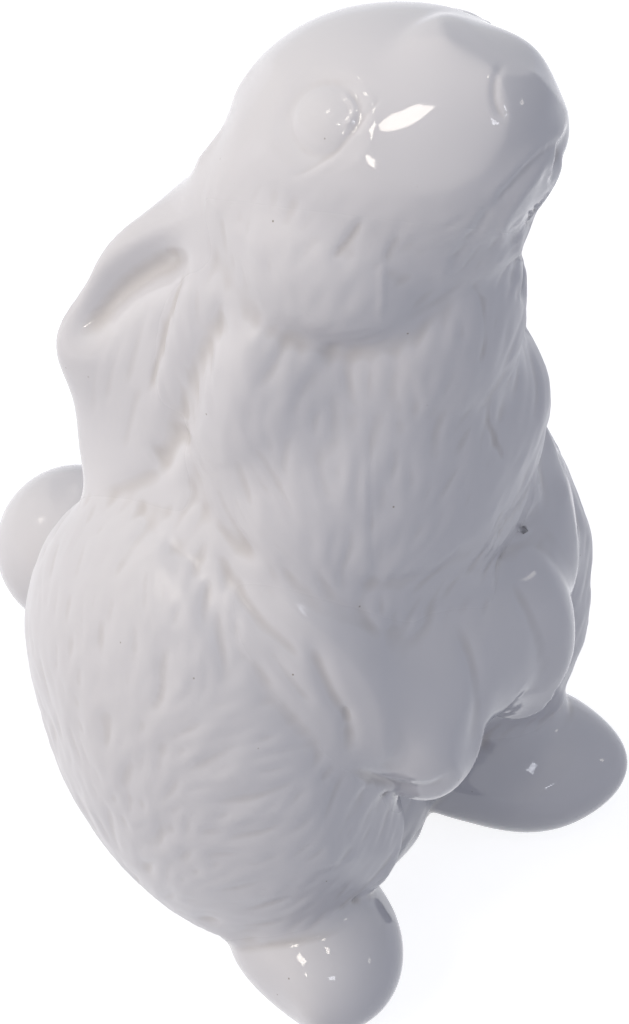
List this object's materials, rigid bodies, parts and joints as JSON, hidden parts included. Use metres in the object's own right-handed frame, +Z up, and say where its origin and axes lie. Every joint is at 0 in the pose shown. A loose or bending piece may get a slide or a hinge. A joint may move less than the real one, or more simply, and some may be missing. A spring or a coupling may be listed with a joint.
{
  "type": "ceramic rabbit figurine",
  "caption": "Sitting lop-eared rabbit figurine in glazed white porcelain, nose in the air, paws held on its belly; a hollow casting with a vent hole under it.",
  "frame": {"origin": "on the surface it stands on, under the middle of its box", "axes": "+Z up, the rabbit faces -Y, and its own right side is at -X"},
  "size_m": [0.071, 0.0798, 0.1273],
  "materials": {
    "glazed_porcelain": "clear glossy glaze over white slip-cast porcelain, darker where it pools in the carved fur"
  },
  "bodies": {
    "root": {"body": "glazed_porcelain", "head": "glazed_porcelain", "ear_right": "glazed_porcelain", "ear_left": "glazed_porcelain", "eye_right": "glazed_porcelain", "eye_left": "glazed_porcelain", "foreleg_right": "glazed_porcelain", "foreleg_left": "glazed_porcelain", "haunch_right": "glazed_porcelain", "haunch_left": "glazed_porcelain", "hind_foot_right": "glazed_porcelain", "hind_foot_left": "glazed_porcelain", "tail": "glazed_porcelain"}
  },
  "joints": []
}
